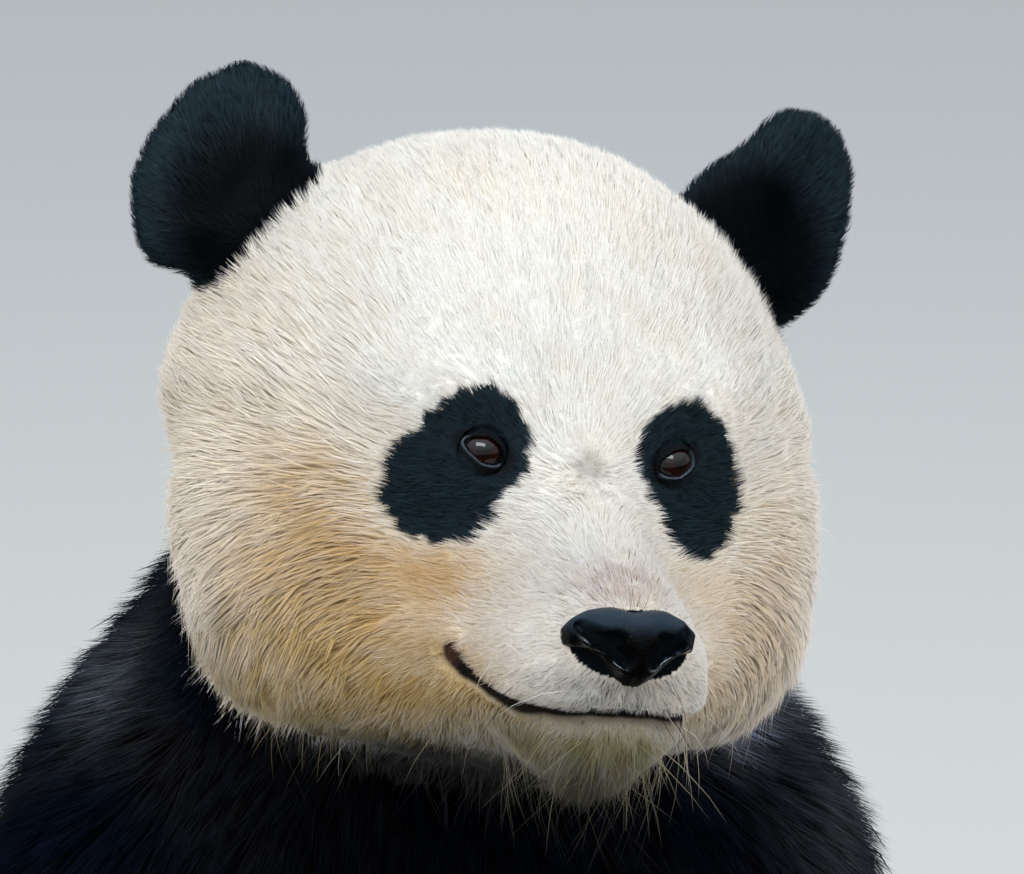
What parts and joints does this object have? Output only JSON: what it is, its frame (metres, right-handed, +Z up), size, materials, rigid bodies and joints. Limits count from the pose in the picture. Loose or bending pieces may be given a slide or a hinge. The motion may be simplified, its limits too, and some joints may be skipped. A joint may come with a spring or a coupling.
{
  "type": "giant panda",
  "caption": "Life-size giant panda sitting on its rump, hind legs forward with soles raised, forepaws on the floor, head raised and turned a little to its left",
  "frame": {"origin": "middle of the model's bounding box in X and Y, on the floor the panda sits on (z = 0)", "axes": "+Z up; the animal faces -Y; its left side is +X"},
  "size_m": [0.8448, 0.8738, 1.0221],
  "materials": {
    "white_fur": "dense cream-white fur, ochre on the cheeks and jaw",
    "black_fur": "dense black fur with a faint cool sheen",
    "nose_leather": "moist, pebbled black nose leather",
    "eye": "wet, dark brown eye",
    "claw": "satin dark horn"
  },
  "bodies": {
    "root": {"belly": "white_fur", "chest": "black_fur", "claw_fore_left_1": "claw", "claw_fore_left_2": "claw", "claw_fore_left_3": "claw", "claw_fore_left_4": "claw", "claw_fore_left_5": "claw", "claw_fore_right_1": "claw", "claw_fore_right_2": "claw", "claw_fore_right_3": "claw", "claw_fore_right_4": "claw", "claw_fore_right_5": "claw", "claw_hind_left_1": "claw", "claw_hind_left_2": "claw", "claw_hind_left_3": "claw", "claw_hind_left_4": "claw", "claw_hind_left_5": "claw", "claw_hind_right_1": "claw", "claw_hind_right_2": "claw", "claw_hind_right_3": "claw", "claw_hind_right_4": "claw", "claw_hind_right_5": "claw", "ear_left": "black_fur", "ear_right": "black_fur", "eye_left": "eye", "eye_right": "eye", "forearm_left": "black_fur", "forearm_right": "black_fur", "forepaw_left": "black_fur", "forepaw_right": "black_fur", "head": "white_fur", "hindpaw_left": "black_fur", "hindpaw_right": "black_fur", "lower_jaw": "white_fur", "neck": "white_fur", "nose": "nose_leather", "rump": "white_fur", "shin_left": "black_fur", "shin_right": "black_fur", "tail": "white_fur", "thigh_left": "black_fur", "thigh_right": "black_fur", "upper_arm_left": "black_fur", "upper_arm_right": "black_fur"}
  },
  "joints": []
}
